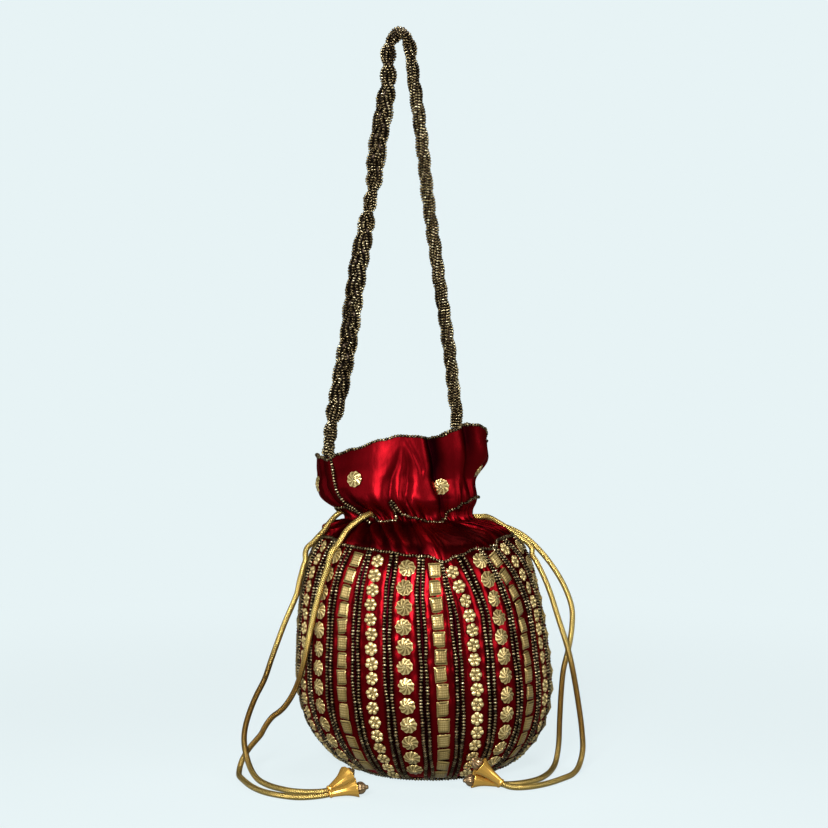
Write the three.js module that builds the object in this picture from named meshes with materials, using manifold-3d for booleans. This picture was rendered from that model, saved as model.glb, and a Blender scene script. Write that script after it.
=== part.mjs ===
// Potli bag: a drawstring pouch of crimson satin, covered with strung gold studs, with a plaited bead handle.
// Millimetres, +Z up. The bag stands on its round base at z = 0, centred on the origin, and its front faces -Y.
// Angles round the bag are in degrees from the front, growing towards +X.
import * as THREE from "three";
import { mergeVertices } from "three/addons/utils/BufferGeometryUtils.js";
import Module from "manifold-3d";

const wasm = await Module();
wasm.setup();

// ---- Driving dimensions -------------------------------------------------------------------------------------

const WALL = 2; // satin, lining and stitching together
const GAP = 0.3; // air between pieces that touch
const SEAM_Z = 150.5; // where the beaded panel ends and the plain collar starts
const CASING = { low: 170, high: 179.8, inner: 37.6, outer: 43.8 }; // the tunnel that holds both drawstrings
const RIM_Z = 226; // the rim's height at the collar's middle
const RIM_SLOPE = 0.17; // it rises towards +X
const CORD_R = 1.75; // drawstring
const BEAD_R = 1; // seed bead
const HANDLE_R = 6; // the plait's mean radius
const COLUMNS = 24; // stud columns round the bag
const FIRST_COLUMN = -7.5; // its angle
const STUDS_LOW = 12; // the heights between which the studs are sewn
const STUDS_HIGH = 149;
const COLLAR_STUDS = [-85, -29, 27, 85, 141, 197];

// Radius and height of the pouch's outer face, from its flat base up to the collar's rim.
const POUCH = [
  [44, 0], [47, 0.9], [51.5, 2.4], [57, 4.6], [62, 7.5], [68.5, 13.2], [74.5, 20], [80, 28.5], [84.3, 39],
  [87, 52], [87.6, 64], [86.8, 80], [85.2, 98], [82.8, 116], [80.3, 130], [77.2, 142], [73.5, SEAM_Z],
];
const COLLAR = [
  [73.3, SEAM_Z + GAP], [71, 155], [67.5, 159.5], [61.5, 164], [54, 168], [47.5, 171.5], [45.2, 175.5],
  [49, 181.5], [53, 189], [55, 198], [57.8, 208], [59.8, 218], [60.5, RIM_Z],
];
const COLLAR_INSIDE = [
  [58.9, RIM_Z], [58.2, 218], [56.2, 208], [53.4, 198], [51.4, 189], [47, 182.6], [36.2, 181], [36, 175],
  [36.6, 168.6], [47, 166.6], [58.5, 162.4], [65.2, 158], [69, 153.6], [71.3, SEAM_Z + GAP],
];

// The bag leans: [height, how far its middle lies from the origin in X, then its half width and its half depth
// over the radius of the round form].
const LEAN = [
  [0, 3, 1, 1], [60, 0, 1, 1], [130, -3.5, 1, 1], [SEAM_Z, -3.5, 1, 1], [160, -4.5, 1, 0.98],
  [168, -8, 1, 0.9], [175, -11, 1.02, 0.82], [182, -15.5, 1.02, 0.77], [190, -18.3, 1.02, 0.72],
  [199, -19.5, 1.02, 0.68], [208, -16.5, 1.02, 0.65], [RIM_Z, -14.5, 1.02, 0.62],
];

// How far each column's top end is pulled sideways by the gathers, in degrees.
const TOP_PULL = [2, 0, -9, -6, -11, -12, -9, -6, -3, 0, 0, 0, 2, 3, 3, 0, -3, -3, 0, 2, 3, 4, 4, 1.5];
const PULL_FROM = 112; // the height above which it shows

// One stud of each kind: half width, half length, height, number in a column.
const STUDS = [
  { name: "pinwheel", half: 5.7, reach: 5.4, tall: 2, count: 11 },
  { name: "square", half: 4.3, reach: 4.7, tall: 1.7, count: 13 },
  { name: "flower", half: 4.3, reach: 3.6, tall: 1.7, count: 16 },
];
const STUD_LIFT = 0.4; // how far a stud's back stays off the satin
const THREAD = 0.7; // half the width of the strung link between two studs

// ---- Materials ----------------------------------------------------------------------------------------------

const finish = (color, roughness, metalness) => new THREE.MeshStandardMaterial({ color, roughness, metalness });
const SATIN = finish(0x8c0a1c, 0.35, 0.2);
const GOLD = finish(0xc9a94f, 0.3, 0.9);
const BEADS = finish(0x4a3823, 0.25, 0.6);
const CORD = finish(0xc2952f, 0.45, 0.5);

// ---- Making solids ------------------------------------------------------------------------------------------

const radians = THREE.MathUtils.degToRad;

// A geometry as a manifold-3d solid, turned right side out if need be.
function toSolid(geometry) {
  const bare = (geometry.index ? geometry.toNonIndexed() : geometry.clone()).deleteAttribute("normal");
  const merged = mergeVertices(bare.deleteAttribute("uv"), 1e-3);
  const tri = new Uint32Array(merged.index.array);
  const build = () =>
    new wasm.Manifold(
      new wasm.Mesh({ numProp: 3, vertProperties: merged.attributes.position.array, triVerts: tri }),
    );
  const solid = build();
  if (solid.volume() > 0) return solid;
  for (let i = 0; i < tri.length; i += 3) [tri[i + 1], tri[i + 2]] = [tri[i + 2], tri[i + 1]];
  return build();
}

function toGeometry(solid) {
  const made = solid.getMesh();
  return new THREE.BufferGeometry()
    .setAttribute("position", new THREE.BufferAttribute(new Float32Array(made.vertProperties), 3))
    .setIndex(new THREE.BufferAttribute(new Uint32Array(made.triVerts), 1));
}

const group = new THREE.Group();

function addPiece(name, geometry, material, place) {
  const mesh = new THREE.Mesh(toGeometry(toSolid(geometry)), material);
  mesh.name = name;
  if (place) mesh.applyMatrix4(place);
  group.add(mesh);
  return mesh;
}

// A profile of [radius, height] turned round Z.
function turned(profile, segments, phase = 0) {
  const points = profile.map(([r, z]) => new THREE.Vector2(r, z));
  return new THREE.LatheGeometry(points, segments, phase).rotateX(Math.PI / 2);
}

// A round section swept along a curve.
function rod(curve, radius, steps, sides = 8) {
  const section = new THREE.Shape();
  for (let i = 0; i < sides; i++) {
    const a = (2 * Math.PI * (i + 0.5)) / sides;
    section[i ? "lineTo" : "moveTo"](radius * Math.cos(a), radius * Math.sin(a));
  }
  section.closePath();
  return new THREE.ExtrudeGeometry(section, { steps, extrudePath: curve, curveSegments: 1 });
}

const smooth = (points, closed = false) =>
  new THREE.CatmullRomCurve3(points.map((p) => new THREE.Vector3(...p)), closed, "centripetal");

// ---- The bag's own shape ------------------------------------------------------------------------------------

// The value at height z of one column of a table of rows that start with a height.
function atHeight(table, z, column) {
  const last = table.length - 1;
  if (z <= table[0][0]) return table[0][column];
  if (z >= table[last][0]) return table[last][column];
  const i = table.findIndex((row) => row[0] > z);
  const share = (z - table[i - 1][0]) / (table[i][0] - table[i - 1][0]);
  return THREE.MathUtils.lerp(table[i - 1][column], table[i][column], share);
}

// Carries a point of the upright round form to its place on the leaning, flattened bag.
function onBag(x, y, z) {
  const placed = new THREE.Vector3(
    atHeight(LEAN, z, 1) + x * atHeight(LEAN, z, 2),
    y * atHeight(LEAN, z, 3),
    z,
  );
  const above = THREE.MathUtils.clamp((z - CASING.high) / (RIM_Z - CASING.high), 0, 1);
  placed.z += RIM_SLOPE * x * above;
  return placed;
}

// The same from an angle, a radius and a height.
const atAngle = (degrees, r, z) => onBag(r * Math.sin(radians(degrees)), -r * Math.cos(radians(degrees)), z);

function leaning(geometry) {
  const at = geometry.attributes.position;
  for (let i = 0; i < at.count; i++) at.setXYZ(i, ...onBag(at.getX(i), at.getY(i), at.getZ(i)));
  return geometry;
}

// The whole outer face as [height, radius].
const OUTLINE = [...POUCH, ...COLLAR].map(([r, z]) => [z, r]);

// The pouch's outer face as a curve of radius (x) and height (y).
const pouchCurve = new THREE.SplineCurve(POUCH.map(([r, z]) => new THREE.Vector2(r, z)));

function uAtHeight(z) {
  let low = 0;
  let high = 1;
  for (let i = 0; i < 30; i++) {
    const middle = (low + high) / 2;
    if (pouchCurve.getPointAt(middle).y < z) low = middle;
    else high = middle;
  }
  return low;
}

// ---- Pouch, base and collar ---------------------------------------------------------------------------------

function closedProfile(outer, inner) {
  return [...outer, ...inner, outer[0]];
}

function pouchPanel() {
  const inner = [[71.5, SEAM_Z]];
  for (let i = POUCH.length - 2; i > 1; i--) {
    const out = pouchCurve.getTangent(i / (POUCH.length - 1));
    inner.push([POUCH[i][0] - WALL * out.y, POUCH[i][1] + WALL * out.x]);
  }
  inner.push([42, WALL], [42, 0]);
  return leaning(turned(closedProfile(POUCH, inner), COLUMNS));
}

function baseDisc() {
  return leaning(turned([[0, 0], [42 - GAP, 0], [42 - GAP, 2.4], [0, 2.4]], COLUMNS));
}

// A window in the casing's outer wall, between two angles.
function casingWindow(from, to) {
  const [start, end] = [radians(from - 90), radians(to - 90)];
  const sector = new THREE.Shape();
  sector.absarc(0, 0, 52, start, end, false);
  sector.absarc(0, 0, CASING.outer - 1, end, start, true);
  const cut = new THREE.ExtrudeGeometry(sector, { depth: 9.4, bevelEnabled: false, curveSegments: 8 });
  return leaning(cut.translate(0, 0, 170.2));
}

// The two openings of the casing, at the side seams. Angles from the front.
const LEFT_WINDOW = [-85, -32];
const RIGHT_WINDOW = [95, 148];

function collar() {
  const shell = toSolid(leaning(turned(closedProfile(COLLAR, COLLAR_INSIDE), 36)));
  const { low, high, inner, outer } = CASING;
  const tunnel = [[inner, low], [outer, low], [outer, high], [inner, high], [inner, low]];
  let made = shell.subtract(toSolid(leaning(turned(tunnel, 36))));
  for (const window of [LEFT_WINDOW, RIGHT_WINDOW]) made = made.subtract(toSolid(casingWindow(...window)));
  return toGeometry(made);
}

addPiece("pouch_panel", pouchPanel(), SATIN);
addPiece("base_disc", baseDisc(), SATIN);
addPiece("collar", collar(), SATIN);

// ---- Strung studs -------------------------------------------------------------------------------------------

// Where a column runs: its middle at arc share u, with its outward normal and its sideways direction.
function columnFrame(column, u) {
  const at = pouchCurve.getPointAt(u);
  const along = pouchCurve.getTangentAt(u);
  const rise = THREE.MathUtils.clamp((at.y - PULL_FROM) / (STUDS_HIGH - PULL_FROM), 0, 1);
  const angle = FIRST_COLUMN + (360 / COLUMNS) * column + TOP_PULL[column] * rise ** 1.5;
  const a = radians(angle);
  return {
    place: atAngle(angle, at.x, at.y),
    normal: new THREE.Vector3(along.y * Math.sin(a), -along.y * Math.cos(a), -along.x).normalize(),
    side: new THREE.Vector3(Math.cos(a), Math.sin(a), 0),
  };
}

// One column as a chain: each stud a low ridge, narrowing to the thread between it and the next.
function studColumn(column, kind) {
  const [start, end] = [uAtHeight(STUDS_LOW), uAtHeight(STUDS_HIGH)];
  const length = pouchCurve.getLength();
  const stations = [];
  for (let i = 0; i < kind.count; i++) {
    const middle = THREE.MathUtils.lerp(start, end, (i + 0.5) / kind.count);
    const away = kind.reach / length;
    if (kind.name === "square") {
      stations.push([middle - away, kind.half], [middle + away, kind.half]);
      if (i < kind.count - 1) stations.push([middle + (end - start) / kind.count / 2, THREAD]);
    } else {
      stations.push([middle - away, THREAD * 3], [middle, kind.half], [middle + away, THREAD * 3]);
    }
  }
  const corners = [];
  for (const [u, half] of stations) {
    const { place, normal, side } = columnFrame(column, u);
    const foot = place.clone().addScaledVector(normal, STUD_LIFT);
    corners.push(
      foot.clone().addScaledVector(side, -half),
      foot.clone().addScaledVector(side, half),
      foot.clone().addScaledVector(normal, kind.tall),
    );
  }
  const faces = [0, 1, 2];
  for (let i = 0; i < stations.length - 1; i++) {
    for (let k = 0; k < 3; k++) {
      const [a, b] = [3 * i + k, 3 * i + ((k + 1) % 3)];
      faces.push(a, a + 3, b, b, a + 3, b + 3);
    }
  }
  const tip = corners.length - 3;
  faces.push(tip, tip + 2, tip + 1);
  return new THREE.BufferGeometry().setFromPoints(corners).setIndex(faces);
}

for (let column = 0; column < COLUMNS; column++) {
  const kind = STUDS[column % STUDS.length];
  addPiece(`${kind.name}_column_${String(column + 1).padStart(2, "0")}`, studColumn(column, kind), GOLD);
}

// A domed stud sewn on the collar.
function collarStud(degrees) {
  const z = 203;
  const r = 56.4;
  const place = atAngle(degrees, r, z);
  const side = atAngle(degrees + 1, r, z).sub(atAngle(degrees - 1, r, z)).normalize();
  const up = atAngle(degrees, 57.8, 208).sub(atAngle(degrees, 55, 198)).normalize();
  const normal = new THREE.Vector3().crossVectors(side, up).normalize();
  place.addScaledVector(normal, 1.1);
  const frame = new THREE.Matrix4().makeBasis(side, up, normal).setPosition(place);
  return turned([[0, 0], [5.4, 0], [4.6, 1.4], [0, 2.2]], 8).applyMatrix4(frame);
}

COLLAR_STUDS.forEach((degrees, i) => addPiece(`collar_stud_${i + 1}`, collarStud(degrees), GOLD));

// ---- Strung bead edgings ------------------------------------------------------------------------------------

// A ring of seed beads at a radius and height of the round form, lifted off the face by more than a
// bead's radius.
function beadRing(r, z, steps = 36) {
  const points = [];
  for (let i = 0; i < steps; i++) points.push(atAngle((360 * i) / steps, r, z).toArray());
  return turnedRing(points);
}

function turnedRing(points) {
  const curve = smooth(points, true);
  const section = 6;
  const rings = points.length;
  const corners = [];
  for (let i = 0; i < rings; i++) {
    const at = curve.getPoint(i / rings);
    const along = curve.getTangent(i / rings);
    const out = new THREE.Vector3().crossVectors(along, new THREE.Vector3(0, 0, 1)).normalize();
    const up = new THREE.Vector3().crossVectors(out, along);
    for (let k = 0; k < section; k++) {
      const a = (2 * Math.PI * k) / section;
      const rim = at.clone().addScaledVector(out, BEAD_R * Math.cos(a));
      corners.push(rim.addScaledVector(up, BEAD_R * Math.sin(a)));
    }
  }
  const faces = [];
  for (let i = 0; i < rings; i++) {
    for (let k = 0; k < section; k++) {
      const [a, b] = [i * section + k, i * section + ((k + 1) % section)];
      const [c, d] = [((i + 1) % rings) * section + k, ((i + 1) % rings) * section + ((k + 1) % section)];
      faces.push(a, b, c, b, d, c);
    }
  }
  return new THREE.BufferGeometry().setFromPoints(corners).setIndex(faces);
}

addPiece("rim_beads", beadRing(59.7, RIM_Z + BEAD_R + GAP), BEADS);
addPiece("casing_beads", beadRing(51.3, 183), BEADS);
addPiece("seam_beads", beadRing(75.8, SEAM_Z + 1), BEADS);
addPiece("base_beads", beadRing(51.5, 1.1), BEADS);

// ---- Handle -------------------------------------------------------------------------------------------------

// Its middle line, from the rim's front left, up to where it is held, and down to the rim's back right.
const HANDLE_ROUTE = [
  [-66, -20, 221.2], [-64.8, -18.6, 233], [-62.4, -17, 247], [-56.8, -13, 272], [-52, -10, 300],
  [-45.3, -5, 350.7], [-37.8, -2, 395.6], [-33.6, 0, 429], [-29.2, 1, 451], [-25.8, 2, 475], [-24.8, 2, 492],
  [-24.2, 2, 501], [-21, 2, 508], [-16.3, 2, 510.4], [-11.6, 2, 508], [-9, 2.3, 500.5], [-8.4, 3, 489],
  [-5.2, 4, 466], [-1.6, 6, 438], [2.9, 10, 396.7], [7.9, 14, 362], [12.9, 18, 326.6], [18.6, 22, 288],
  [21.2, 25, 263], [23.4, 28.4, 247], [23.8, 29.8, 236.4],
];
addPiece("bead_handle", rod(smooth(HANDLE_ROUTE), HANDLE_R, 80), BEADS);

// ---- Drawstrings --------------------------------------------------------------------------------------------

const LANE_HIGH = 177.2; // the left drawstring's height in the casing
const LANE_LOW = 172.6; // the right one's
const LANE_R = 40.7;

// The stretch of a drawstring inside the casing, from one side of its window round to the other.
function casingLoop([from, to], z) {
  const points = [];
  for (let i = 0; i <= 24; i++) {
    points.push(atAngle(THREE.MathUtils.lerp(to - 1, from + 361, i / 24), LANE_R, z).toArray());
  }
  return rod(smooth(points), CORD_R, 36);
}

addPiece("drawstring_left_in_casing", casingLoop(LEFT_WINDOW, LANE_HIGH), CORD);
addPiece("drawstring_right_in_casing", casingLoop(RIGHT_WINDOW, LANE_LOW), CORD);

// How far a tail's middle line stays off the bag's face: [height, distance].
const STAND_OFF = [[0, 4.9], [146, 4.9], [149.5, 7.2], [154, 7.2], [157, 4.6], [162, 3.5], [172, 2.9]];

// Moves a point outwards where it would press into the bag.
function clearOfBag([x, y, z]) {
  if (z > 174) return [x, y, z];
  const [u, v] = [(x - atHeight(LEAN, z, 1)) / atHeight(LEAN, z, 2), y / atHeight(LEAN, z, 3)];
  const face = atHeight(OUTLINE, z, 1);
  const push = Math.max(1, (face + atHeight(STAND_OFF, z, 1)) / Math.hypot(u, v));
  return onBag(u * push, v * push, z).toArray();
}

// The free tails: out of the window, over the shoulder, down to the floor, and along it to their end caps.
const TAILS = {
  left_front: [
    [-39.5, -34, 176.3], [-45.4, -38.5, 172.6], [-51.5, -43, 167.5], [-56.5, -47.5, 160], [-61.5, -53, 151],
    [-65.5, -55, 140], [-69.2, -54.5, 128.5], [-74, -52, 110], [-77.5, -50.5, 94], [-81.2, -45.5, 77],
    [-86.2, -40, 61.5], [-91, -37, 52], [-96.7, -34, 44.4], [-103.7, -31, 38.6], [-108.4, -29, 32],
    [-112, -27, 25.5], [-116.8, -26, 20], [-121.3, -25, 14], [-124.8, -27, 7.6], [-125.6, -33.5, 2.7],
    [-124.3, -44, 2], [-120.3, -56, 2], [-112.5, -74.5, 2], [-103.7, -87.6, 2], [-93.5, -96, 2],
    [-80.5, -101.5, 2], [-69, -99, 2], [-59.1, -95.2, 2.7],
  ],
  left_back: [
    [-57.5, -7.5, 177], [-64, -10.5, 171.6], [-71, -15, 161.5], [-80.5, -22, 143], [-88, -21, 120],
    [-96.5, -17, 100], [-105, -15.5, 77], [-110.2, -17, 61.8], [-115.6, -21, 51], [-119.7, -25, 40.4],
    [-122.3, -29, 29.8], [-122.4, -32, 21.4], [-120.4, -36.5, 13.8], [-116.4, -46, 7], [-110.5, -58.5, 3.2],
    [-102.4, -70, 2], [-93.8, -79.5, 2], [-84, -86.5, 2], [-74, -88.5, 2],
    [-65.2, -86.8, 2], [-60.4, -84.3, 2.4],
  ],
  right_front: [
    [38.5, 6.5, 172.6], [45, 12, 172.2], [52, 15.5, 168.5], [60, 17, 163.5], [68, 16.5, 157.3],
    [77.5, 9, 144], [84, 1, 131], [88.5, -4, 119], [93, -8, 104], [97.5, -12, 89.5], [100.5, -14, 78.5],
    [103.6, -14, 63.5], [106.5, -14, 46], [109, -14, 27], [109.3, -17, 13.5], [106, -25, 4.8], [100.5, -38, 2],
    [92.6, -51, 2], [80.1, -66, 2], [69, -74, 2], [59, -77.5, 2.4], [53, -77.2, 3.4], [48.4, -76.4, 5.4],
  ],
  right_back: [
    [17, 33, 172.8], [24, 40, 172], [34, 42.5, 169.6], [46, 40, 167], [58, 33, 164],
    [70.5, 25, 158.5], [82, 17, 148.5], [92.5, 9, 135], [100, 4, 121], [103.8, 1, 108],
    [103.3, -1, 94], [100.8, -2, 80], [97.5, -3, 67], [96, -3, 53], [94.8, -3, 32],
    [93.8, -5, 14], [91.3, -12, 4.6], [87.2, -26, 2], [82.3, -41, 2], [75.5, -54, 2], [67, -62, 2],
    [57, -67, 2], [47.5, -69.4, 2.6],
  ],
};

// The middle of each trumpet-shaped end cap's mouth. Its neck starts just past its tail's end.
const CAP_MOUTHS = {
  left_front: [-40.8, -94, 6.9],
  left_back: [-49, -70.5, 10],
  right_front: [33, -76.5, 18.4],
  right_back: [30, -71, 7],
};
const NECK_GAP = 1.5;
const CAP_LENGTH = 17.5;
const CAP_MOUTH = 6.2;
const CAP_NECK = 2.6;

// Its [distance from the neck, radius] outside, then back inside the mouth.
const CAP_PROFILE = [
  [0, 0], [0, CAP_NECK], [6, 3.1], [11, 3.9], [15, 5.1], [CAP_LENGTH, CAP_MOUTH],
  [CAP_LENGTH, 5.4], [14.5, 4.1], [11, 2.9], [11, 0],
];

// The bud on a short thread in its mouth: [distance from the thread's inner end, radius].
const BUD_PROFILE = [
  [0, 0], [0, 1], [2.4, 1], [3.6, 2.4], [5.4, 3.7], [7.4, 3.7], [9.2, 2.4], [10.2, 1.4], [11.4, 0.9], [11.7, 0],
];
const BUD_INSIDE = 4.5; // how far inside the mouth the thread starts
// Where each bud points, from the middle of its cap's mouth.
const BUD_WAYS = {
  left_front: [1, 0, 0.12],
  left_back: [0.6, 0.75, 0.35],
  right_front: [-0.72, 0, 0.6],
  right_back: [-0.94, -0.28, 0.02],
};

// Turns a profile of [distance, radius] round a line that starts at a point.
function turnedAlong(profile, start, way) {
  const turn = new THREE.Quaternion().setFromUnitVectors(new THREE.Vector3(0, 0, 1), way);
  const upright = turned(profile.map(([along, r]) => [r, along]), 12);
  return upright.applyQuaternion(turn).translate(...start);
}

const laneEnd = (degrees, z) => atAngle(degrees, LANE_R, z).toArray();
const TAIL_STARTS = {
  left_front: laneEnd(LEFT_WINDOW[1] - 9, LANE_HIGH),
  left_back: laneEnd(LEFT_WINDOW[0] + 8, LANE_HIGH),
  right_front: laneEnd(RIGHT_WINDOW[0] + 8, LANE_LOW),
  right_back: laneEnd(RIGHT_WINDOW[1] - 8, LANE_LOW),
};

for (const [name, route] of Object.entries(TAILS)) {
  const middle = smooth([TAIL_STARTS[name], ...route]).getSpacedPoints(70).map((p) => clearOfBag(p.toArray()));
  addPiece(`drawstring_${name}_tail`, rod(smooth(middle), CORD_R, 60), CORD);
  const mouth = new THREE.Vector3(...CAP_MOUTHS[name]);
  const along = mouth.clone().sub(new THREE.Vector3(...route.at(-1))).normalize();
  const neck = new THREE.Vector3(...route.at(-1)).addScaledVector(along, NECK_GAP);
  addPiece(`end_cap_${name}`, turnedAlong(CAP_PROFILE, neck, along), GOLD);
  const root = neck.addScaledVector(along, CAP_LENGTH - BUD_INSIDE);
  const away = new THREE.Vector3(...BUD_WAYS[name]).normalize();
  addPiece(`cap_bud_${name}`, turnedAlong(BUD_PROFILE, root, away), GOLD);
}

export default group;
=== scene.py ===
import math

import bpy
import numpy as np
from mathutils import Matrix, Vector


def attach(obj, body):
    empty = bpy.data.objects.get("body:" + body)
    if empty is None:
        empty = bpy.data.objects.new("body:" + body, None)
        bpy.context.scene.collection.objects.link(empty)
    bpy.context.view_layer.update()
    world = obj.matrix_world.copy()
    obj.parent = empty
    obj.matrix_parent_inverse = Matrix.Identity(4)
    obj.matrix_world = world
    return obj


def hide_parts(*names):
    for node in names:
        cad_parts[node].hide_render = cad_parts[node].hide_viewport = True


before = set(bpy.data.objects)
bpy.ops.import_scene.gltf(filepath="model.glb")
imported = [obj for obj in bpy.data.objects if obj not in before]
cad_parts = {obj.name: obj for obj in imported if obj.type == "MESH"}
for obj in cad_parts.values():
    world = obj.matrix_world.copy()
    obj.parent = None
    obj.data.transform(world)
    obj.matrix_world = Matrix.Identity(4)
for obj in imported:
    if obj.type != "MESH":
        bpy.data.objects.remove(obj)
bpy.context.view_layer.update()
rng = np.random.default_rng(7)

# ---- The bag's shape --------------------------------------------------------

# Radius and height of the cloth, from the edge of the base over the shoulder to the gathered waist.
PROFILE = np.array([
    [44, 0.3], [47, 0.9], [51.5, 2.4], [57, 4.6], [62, 7.5], [68.5, 13.2], [74.5, 20], [80, 28.5], [84.3, 39],
    [87, 52], [87.6, 64], [86.8, 80], [85.2, 98], [82.8, 116], [80.3, 130], [77.2, 142], [73.5, 150.5],
    [71, 155], [67.5, 159.5], [61.5, 164], [54, 168], [48.5, 171],
])
# Height, the middle's offset in X, and the half width and half depth over the radius.
LEAN = np.array([
    [0, 3, 1, 1], [60, 0, 1, 1], [130, -3.5, 1, 1], [150.5, -3.5, 1, 1], [160, -4.5, 1, 0.98],
    [168, -8, 1, 0.9], [175, -11, 1.02, 0.82], [182, -15.5, 1.02, 0.77], [190, -18.3, 1.02, 0.72],
    [199, -19.5, 1.02, 0.68], [208, -16.5, 1.02, 0.65], [226, -14.5, 1.02, 0.62],
])
# The columns of studs, and the angle from one to the next.
COLUMNS = 24
COLUMN_STEP = 360 / COLUMNS
FIRST_COLUMN = -7.5
# How far the gathers pull each column's top end sideways, in degrees, and from what height.
TOP_PULL = [2, 0, -9, -6, -11, -12, -9, -6, -3, 0, 0, 0, 2, 3, 3, 0, -3, -3, 0, 2, 3, 4, 4, 1.5]
PULL_FROM, PULL_TO = 112, 149
# Rows of angle and height for the shoulder seam, the casing's bead line and the rim.
SEAM = [
    [-120, 157], [-90, 160], [-60, 161], [-45, 157.5], [-30, 156], [-15, 154.5], [-6, 152.5], [4, 152],
    [12, 148.5], [20, 152], [32, 156], [44, 155], [52, 160], [62, 161], [90, 161], [130, 157], [180, 154],
    [215, 156],
]
CASING_LINE = [
    [-90, 176.5], [-62, 181], [-51, 182], [-38, 176], [-26, 172], [-12, 173], [-8.6, 178], [-7, 186],
    [-5.6, 186], [-3.6, 177], [4, 175], [17, 172], [28, 171.5], [35, 173], [44, 180], [54, 183], [73, 186],
    [90, 187], [120, 184], [150, 179], [180, 176], [210, 178], [240, 176],
]
RIM = [
    [-90, 216], [-70, 214.5], [-57, 213], [-46, 217], [-33, 220.5], [-12, 227], [-2, 229.8], [8, 229.3],
    [18, 227.8], [25, 229.5], [32, 233], [43, 237], [56, 237], [70, 234.5], [80, 230], [90, 225],
    [102, 226], [120, 233], [132, 237.5], [142, 233], [160, 225], [180, 222], [200, 221], [215, 218],
    [235, 215], [252, 214],
]
# Creases of the collar, as rows for the share of the way up from the waist (0) to the rim (1):
# [share, angle, half width in degrees, depth in mm].
CREASES = [
    [[0.05, -8, 4, 3.5], [0.3, -7, 4.4, 4.2], [0.5, -4, 3.6, 3.6], [0.75, -2, 2, 1.5], [0.9, -1, 1.5, 0]],
    [[0.05, -2, 2.5, 2.5], [0.3, 4.5, 3.4, 3.4], [0.5, 8.2, 3.2, 3.6], [0.72, 5, 2.4, 2], [0.9, 2, 2, 0]],
    [[0.55, 17.5, 1.5, 0], [0.65, 15.4, 1.8, 1.3], [0.8, 9.5, 1.8, 1.5], [1, 1.5, 1.8, 0.6]],
    [[0.05, 36, 5, 5], [0.3, 36.5, 5.5, 7.5], [0.5, 33.5, 6.5, 8], [0.75, 25.5, 5.5, 8], [1, 18.4, 4.2, 7]],
    [[0.3, 66, 4, 1], [0.5, 63, 7, 3.5], [1, 46, 6, 4.5]],
    [[0, -32, 3, 4], [0.22, -33, 3.5, 3], [0.5, -40, 5, 0]],
    [[0, -20, 2.2, 3], [0.2, -20, 3, 2], [0.4, -19, 3, 0]],
    [[0, -51, 4, 4], [0.25, -54, 4, 3.5], [0.6, -62, 4.5, 2], [1, -66, 5, 1.5]],
    [[0, 14, 2.5, 2.5], [0.2, 13, 3, 1.8], [0.4, 12, 3, 0]],
    [[0, 52, 3, 4], [0.25, 53, 3, 3], [0.5, 52, 4, 0]],
    [[0, 76, 4, 4], [0.5, 82, 7, 3.5], [1, 88, 9, 2.5]],
    [[0, -80, 4, 4], [0.5, -84, 6, 3], [1, -86, 7, 2]],
]
# Plain creases for the rest of the way round: angle, lean, half width, depth.
for turn, slant, half_width, depth in (
    (104, 3, 7, 6), (124, -4, 6, 5), (147, 5, 8, 8), (170, -3, 6, 5), (191, 4, 7, 7), (212, -5, 6, 5),
    (233, 3, 7, 6), (254, -3, 6, 4),
):
    CREASES.append([
        [0, turn, half_width * 0.6, depth * 0.7],
        [0.4, turn, half_width, depth],
        [1, turn + slant, half_width * 1.1, depth * 0.8],
    ])
# Broad swells between the creases, in the same form.
SWELLS = [
    [[0.1, -16, 13, 0.5], [0.3, -16, 14, 3], [0.6, -14, 14, 3.4], [1, -10, 13, 2.6]],
    [[0.1, 15, 8, 0.5], [0.3, 17, 9, 2.2], [0.6, 15, 8, 2], [1, 4, 8, 1]],
    [[0.2, 50, 10, 1], [0.5, 48, 11, 2.6], [1, 33, 9, 2.6]],
]
# Patches of painted shade on the front, in the same form, with their darkness in place of a depth.
PAINTED_SHADE_PATCHES = [
    [[0, -46, 18, 0.5], [0.3, -44, 19, 0.6], [0.6, -46, 19, 0.5], [1, -45, 24, 0.6]],
    [[0, -70, 14, 0.5], [1, -74, 14, 0.5]],
    [[0.3, 29, 5, 0.3], [0.6, 26, 5, 0.5], [1, 20, 5, 0.6]],
    [[0.1, -28, 7, 0.2], [0.35, -33, 8, 0.3], [0.6, -41, 9, 0.15]],
    [[0.7, 58, 7, 0.05], [0.85, 53, 7, 0.5], [1, 50, 7, 0.5]],
]
# How far the shoulder's pleats slant over its height: angle round the bag, and slant in degrees.
SLANT = [[-120, 0], [-60, -6], [-20, 6], [-5, 0], [10, 4], [35, 22], [70, 14], [120, 0]]


def ease(x):
    """Goes from 0 to 1 with a level start and end."""
    return x * x * (3 - 2 * x)


def around(table, degrees):
    """The value at an angle of a table of [angle, value] rows that closes on itself."""
    rows = sorted(table)
    angles = np.array([row[0] for row in rows] + [rows[0][0] + 360], float)
    values = np.array([row[1] for row in rows] + [rows[0][1]], float)
    at = (np.asarray(degrees, float) - angles[0]) % 360 + angles[0]
    i = np.clip(np.searchsorted(angles, at, side="right") - 1, 0, len(rows) - 1)
    share = (at - angles[i]) / (angles[i + 1] - angles[i])
    return values[i] + (values[i + 1] - values[i]) * ease(share)


# LEAN with its corners smoothed. The blur spoils both ends, so they are cut off.
LEAN_STEP, LEAN_BLUR = 0.5, 13.0
UNSPOILT = slice(30, -30)
lean_z = np.arange(-30, 290, LEAN_STEP)
blur = np.hanning(int(LEAN_BLUR / LEAN_STEP))
blur /= blur.sum()
SMOOTH_LEAN = [np.convolve(np.interp(lean_z, LEAN[:, 0], values), blur, "same")[UNSPOILT] for values in LEAN.T]
LEAN_Z = lean_z[UNSPOILT]


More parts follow.
